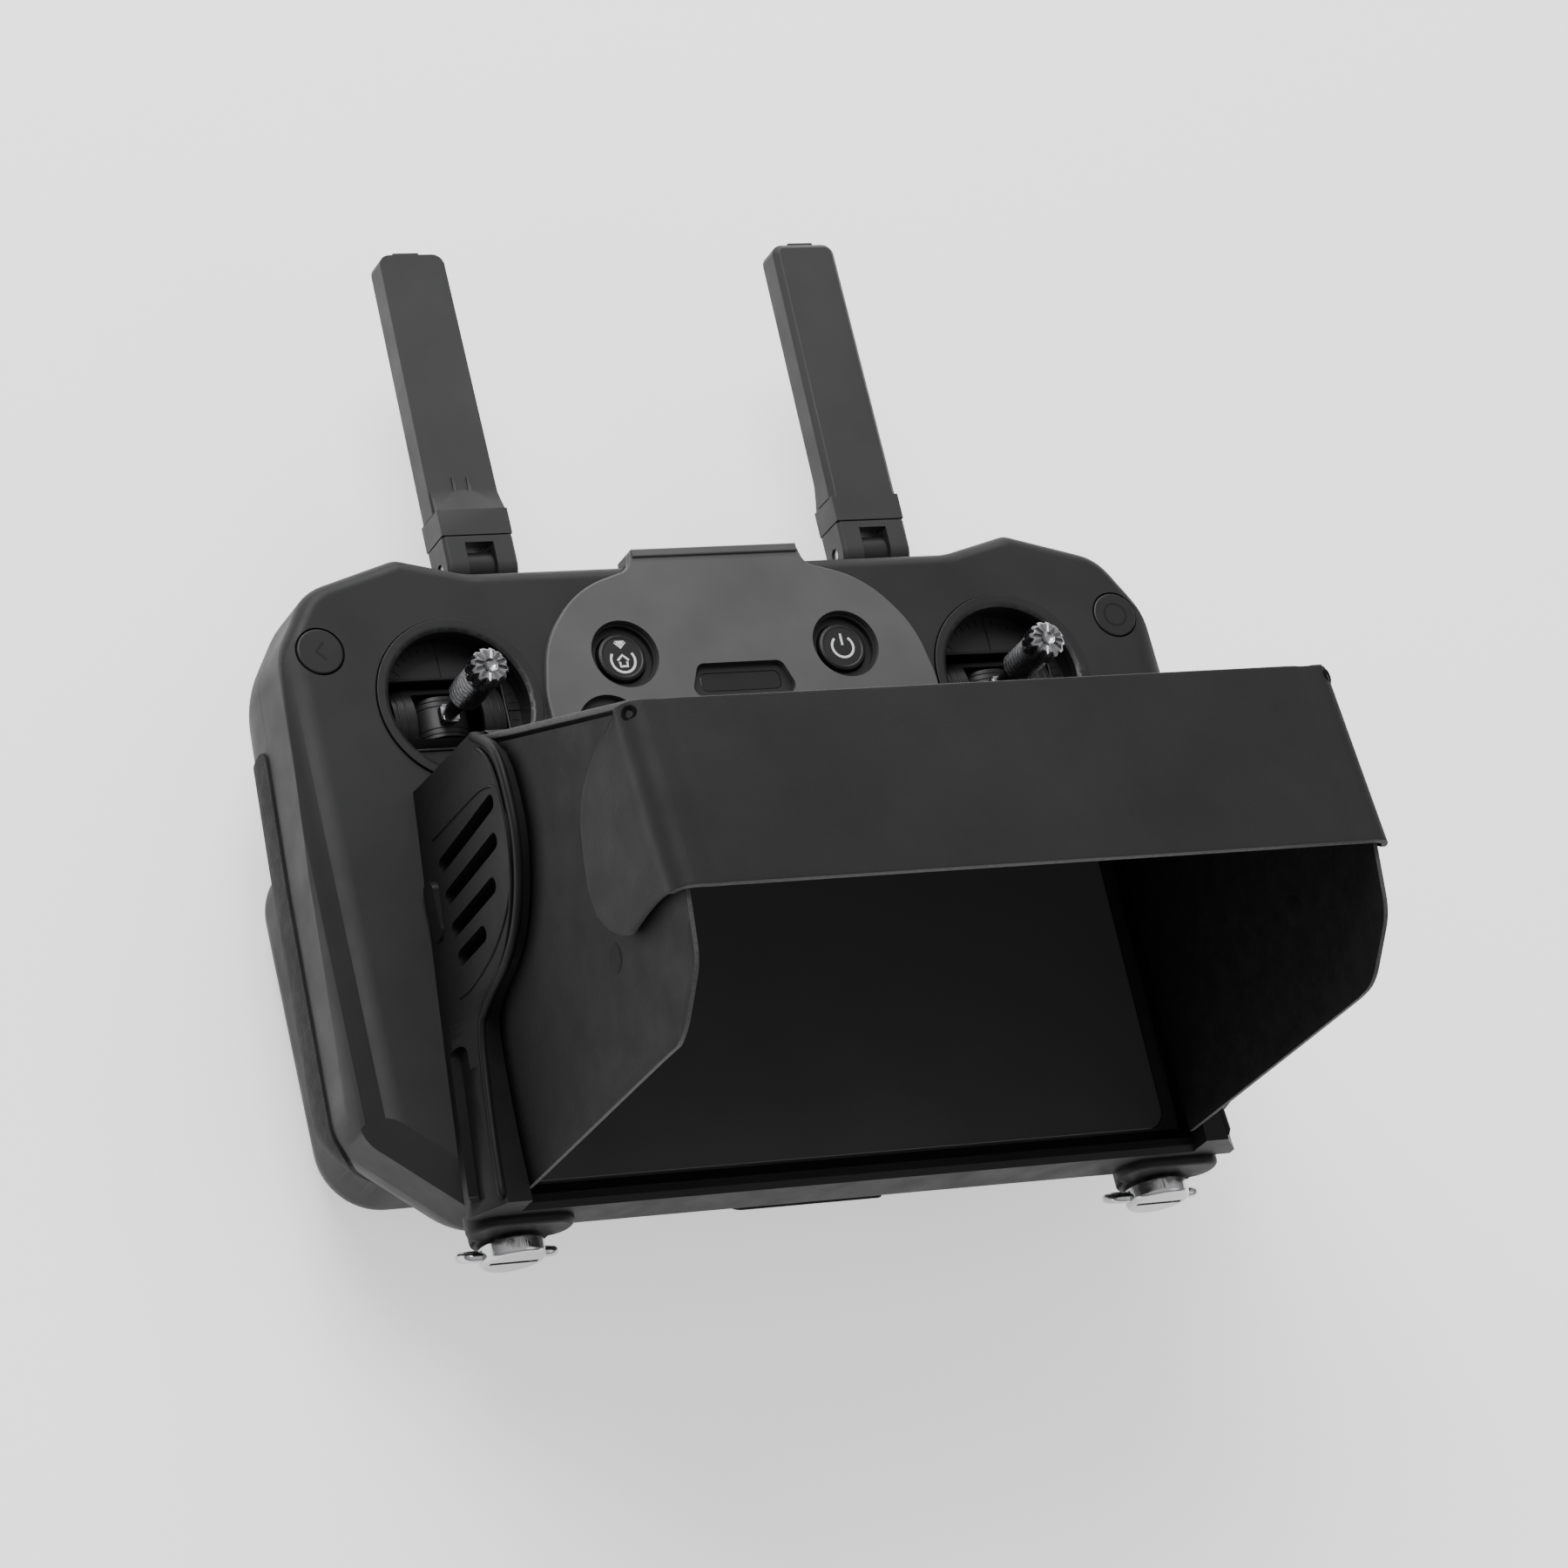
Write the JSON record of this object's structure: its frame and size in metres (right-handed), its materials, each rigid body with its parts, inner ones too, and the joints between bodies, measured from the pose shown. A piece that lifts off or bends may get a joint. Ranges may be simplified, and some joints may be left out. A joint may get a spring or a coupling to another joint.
{
  "type": "radio transmitter controller",
  "caption": "Handheld remote-control transmitter with a built-in touch screen, two sticks, folding antennas and a clip-on folding sun hood, lying on its back",
  "frame": {"origin": "middle of the flat rear face that the controller rests on", "axes": "+X to the user's right, +Y along the face towards the antennas, +Z out of the screen"},
  "size_m": [0.2472, 0.2685, 0.1867],
  "materials": {
    "shell_plastic": "fine matte texture",
    "rubber_grip": "stippled",
    "screen_glass": "polished, dark",
    "display": "gloss",
    "circuit_board": "satin",
    "key_plastic": "satin",
    "led_lens": "frosted",
    "dial_plastic": "knurled",
    "steel": "brushed",
    "gimbal_plastic": "satin",
    "stick_metal": "dark anodised",
    "antenna_plastic": "fine matte texture",
    "hood_plate_plastic": "satin",
    "hood_frame_plastic": "satin",
    "hood_sheet": "fine grained",
    "strap_chrome": "polished"
  },
  "bodies": {
    "controller": {"front_shell": "shell_plastic", "rear_shell": "shell_plastic", "shell_screws": "steel", "rear_feet": "rubber_grip", "screen_glass": "screen_glass", "display_panel": "display", "main_board": "circuit_board", "battery_pack": "shell_plastic", "led_bar": "led_lens", "wheel_axles": "steel", "hood_faceplate": "hood_plate_plastic", "hood_collar": "hood_frame_plastic", "side_grip_left": "rubber_grip", "side_grip_right": "rubber_grip", "gimbal_ring_left": "gimbal_plastic", "gimbal_ring_right": "gimbal_plastic", "gimbal_cup_left": "gimbal_plastic", "gimbal_cup_right": "gimbal_plastic", "antenna_pin_left": "steel", "antenna_pin_right": "steel"},
    "home_key": {"home_key": "key_plastic"},
    "power_key": {"power_key": "key_plastic"},
    "back_key": {"back_key": "key_plastic"},
    "confirm_key": {"confirm_key": "key_plastic"},
    "record_key": {"record_key": "key_plastic"},
    "shutter_key": {"shutter_key": "key_plastic"},
    "pause_key": {"pause_key": "key_plastic"},
    "rear_key_left": {"rear_key_left": "key_plastic"},
    "rear_key_right": {"rear_key_right": "key_plastic"},
    "battery_latch": {"battery_latch": "key_plastic"},
    "mode_switch": {"mode_switch": "key_plastic"},
    "scroll_wheel": {"scroll_wheel": "dial_plastic"},
    "thumb_dial_left": {"thumb_dial_left": "dial_plastic"},
    "gimbal_yoke_left": {"gimbal_yoke_left": "gimbal_plastic"},
    "stick_left": {"gimbal_drum_left": "gimbal_plastic", "stick_sleeve_left": "stick_metal", "stick_crown_left": "stick_metal"},
    "antenna_knuckle_left": {"antenna_knuckle_left": "antenna_plastic"},
    "antenna_paddle_left": {"antenna_paddle_left": "antenna_plastic"},
    "hood_side_left": {"hood_panel_left": "hood_sheet", "hood_magnet_left": "steel"},
    "strap_screw_left": {"strap_screw_left": "strap_chrome"},
    "strap_loop_left": {"strap_loop_left": "strap_chrome"},
    "thumb_dial_right": {"thumb_dial_right": "dial_plastic"},
    "gimbal_yoke_right": {"gimbal_yoke_right": "gimbal_plastic"},
    "stick_right": {"gimbal_drum_right": "gimbal_plastic", "stick_sleeve_right": "stick_metal", "stick_crown_right": "stick_metal"},
    "antenna_knuckle_right": {"antenna_knuckle_right": "antenna_plastic"},
    "antenna_paddle_right": {"antenna_paddle_right": "antenna_plastic"},
    "hood_side_right": {"hood_panel_right": "hood_sheet", "hood_magnet_right": "steel"},
    "strap_screw_right": {"strap_screw_right": "strap_chrome"},
    "strap_loop_right": {"strap_loop_right": "strap_chrome"},
    "hood_roof": {"hood_roof": "hood_sheet"},
    "hood_visor": {"hood_visor": "hood_sheet"},
    "port_cover": {"port_cover": "rubber_grip"},
    "five_way_ring": {"five_way_ring": "key_plastic"},
    "five_way_key": {"five_way_key": "key_plastic"}
  },
  "joints": [
    {"name": "home_key_press", "type": "slide", "parent": "controller", "child": "home_key", "axis": [0, 0, -1], "range_m": [0, 0.0012], "stiffness_N_per_m": 400},
    {"name": "power_key_press", "type": "slide", "parent": "controller", "child": "power_key", "axis": [0, 0, -1], "range_m": [0, 0.0012], "stiffness_N_per_m": 400},
    {"name": "back_key_press", "type": "slide", "parent": "controller", "child": "back_key", "axis": [0, 0, -1], "range_m": [0, 0.0012], "stiffness_N_per_m": 400},
    {"name": "confirm_key_press", "type": "slide", "parent": "controller", "child": "confirm_key", "axis": [0, 0, -1], "range_m": [0, 0.0012], "stiffness_N_per_m": 400},
    {"name": "record_key_press", "type": "slide", "parent": "controller", "child": "record_key", "axis": [0, -1, 0], "range_m": [0, 0.001], "stiffness_N_per_m": 400},
    {"name": "shutter_key_press", "type": "slide", "parent": "controller", "child": "shutter_key", "axis": [0, -1, 0], "range_m": [0, 0.001], "stiffness_N_per_m": 400},
    {"name": "pause_key_press", "type": "slide", "parent": "controller", "child": "pause_key", "axis": [0, -1, 0], "range_m": [0, 0.001], "stiffness_N_per_m": 400},
    {"name": "rear_key_left_press", "type": "slide", "parent": "controller", "child": "rear_key_left", "axis": [0, 0, 1], "range_m": [0, 0.001], "stiffness_N_per_m": 400},
    {"name": "rear_key_right_press", "type": "slide", "parent": "controller", "child": "rear_key_right", "axis": [0, 0, 1], "range_m": [0, 0.001], "stiffness_N_per_m": 400},
    {"name": "battery_latch_press", "type": "slide", "parent": "controller", "child": "battery_latch", "axis": [0, -1, 0], "range_m": [0, 0.0006], "stiffness_N_per_m": 400},
    {"name": "mode_switch_slide", "type": "slide", "parent": "controller", "child": "mode_switch", "axis": [1, 0, 0], "range_m": [-0.003, 0.003]},
    {"name": "scroll_wheel_spin", "type": "hinge", "parent": "controller", "child": "scroll_wheel", "pos_m": [0.03, 0.076, 0.033], "axis": [1, 0, 0], "continuous": true},
    {"name": "thumb_dial_left_turn", "type": "hinge", "parent": "controller", "child": "thumb_dial_left", "pos_m": [-0.098, 0.073, 0.033], "axis": [1, 0, 0], "range_deg": [-30, 30], "stiffness_Nm_per_rad": 0.01},
    {"name": "stick_left_pitch", "type": "hinge", "parent": "controller", "child": "gimbal_yoke_left", "pos_m": [-0.0756, 0.048, 0.045], "axis": [1, 0, 0], "range_deg": [-22, 22], "stiffness_Nm_per_rad": 0.05},
    {"name": "stick_left_roll", "type": "hinge", "parent": "gimbal_yoke_left", "child": "stick_left", "pos_m": [-0.0756, 0.048, 0.045], "axis": [0, 1, 0], "range_deg": [-22, 22], "stiffness_Nm_per_rad": 0.05},
    {"name": "antenna_left_fold", "type": "hinge", "parent": "controller", "child": "antenna_knuckle_left", "pos_m": [-0.0545, 0.091, 0.042], "axis": [-1, 0, 0], "range_deg": [0, 90]},
    {"name": "antenna_left_twist", "type": "hinge", "parent": "antenna_knuckle_left", "child": "antenna_paddle_left", "pos_m": [-0.0545, 0.0983, 0.042], "axis": [0, 1, 0], "range_deg": [-90, 90]},
    {"name": "hood_side_left_fold", "type": "hinge", "parent": "controller", "child": "hood_side_left", "pos_m": [-0.0897, -0.029, 0.07], "axis": [0, 1, 0], "range_deg": [0, 88]},
    {"name": "strap_screw_left_turn", "type": "hinge", "parent": "controller", "child": "strap_screw_left", "pos_m": [-0.087, -0.088, 0.049], "axis": [0, -1, 0], "range_deg": [-40, 40]},
    {"name": "strap_loop_left_swing", "type": "hinge", "parent": "strap_screw_left", "child": "strap_loop_left", "pos_m": [-0.087, -0.088, 0.049], "axis": [-1, 0, 0], "range_deg": [0, 195]},
    {"name": "thumb_dial_right_turn", "type": "hinge", "parent": "controller", "child": "thumb_dial_right", "pos_m": [0.098, 0.073, 0.033], "axis": [1, 0, 0], "range_deg": [-30, 30], "stiffness_Nm_per_rad": 0.01},
    {"name": "stick_right_pitch", "type": "hinge", "parent": "controller", "child": "gimbal_yoke_right", "pos_m": [0.0756, 0.048, 0.045], "axis": [1, 0, 0], "range_deg": [-22, 22], "stiffness_Nm_per_rad": 0.05},
    {"name": "stick_right_roll", "type": "hinge", "parent": "gimbal_yoke_right", "child": "stick_right", "pos_m": [0.0756, 0.048, 0.045], "axis": [0, 1, 0], "range_deg": [-22, 22], "stiffness_Nm_per_rad": 0.05},
    {"name": "antenna_right_fold", "type": "hinge", "parent": "controller", "child": "antenna_knuckle_right", "pos_m": [0.0545, 0.091, 0.042], "axis": [-1, 0, 0], "range_deg": [0, 90]},
    {"name": "antenna_right_twist", "type": "hinge", "parent": "antenna_knuckle_right", "child": "antenna_paddle_right", "pos_m": [0.0545, 0.0983, 0.042], "axis": [0, 1, 0], "range_deg": [-90, 90]},
    {"name": "hood_side_right_fold", "type": "hinge", "parent": "controller", "child": "hood_side_right", "pos_m": [0.0897, -0.029, 0.07], "axis": [0, -1, 0], "range_deg": [0, 82]},
    {"name": "strap_screw_right_turn", "type": "hinge", "parent": "controller", "child": "strap_screw_right", "pos_m": [0.087, -0.088, 0.049], "axis": [0, -1, 0], "range_deg": [-40, 40]},
    {"name": "strap_loop_right_swing", "type": "hinge", "parent": "strap_screw_right", "child": "strap_loop_right", "pos_m": [0.087, -0.088, 0.049], "axis": [-1, 0, 0], "range_deg": [0, 195]},
    {"name": "hood_roof_lift", "type": "hinge", "parent": "controller", "child": "hood_roof", "pos_m": [0, 0.024, 0.0992], "axis": [-1, 0, 0], "range_deg": [0, 60]},
    {"name": "hood_visor_lift", "type": "hinge", "parent": "hood_roof", "child": "hood_visor", "pos_m": [0, -0.0024, 0.1802], "axis": [-1, 0, 0], "range_deg": [0, 60]},
    {"name": "port_cover_open", "type": "hinge", "parent": "controller", "child": "port_cover", "pos_m": [0, -0.0746, 0.0287], "axis": [1, 0, 0], "range_deg": [0, 100]},
    {"name": "five_way_tip_y", "type": "hinge", "parent": "controller", "child": "five_way_ring", "pos_m": [-0.038, 0.038, 0.055], "axis": [1, 0, 0], "range_deg": [-6, 6], "stiffness_Nm_per_rad": 0.02},
    {"name": "five_way_tip_x", "type": "hinge", "parent": "five_way_ring", "child": "five_way_key", "pos_m": [-0.038, 0.038, 0.055], "axis": [0, 1, 0], "range_deg": [-6, 6], "stiffness_Nm_per_rad": 0.02}
  ]
}
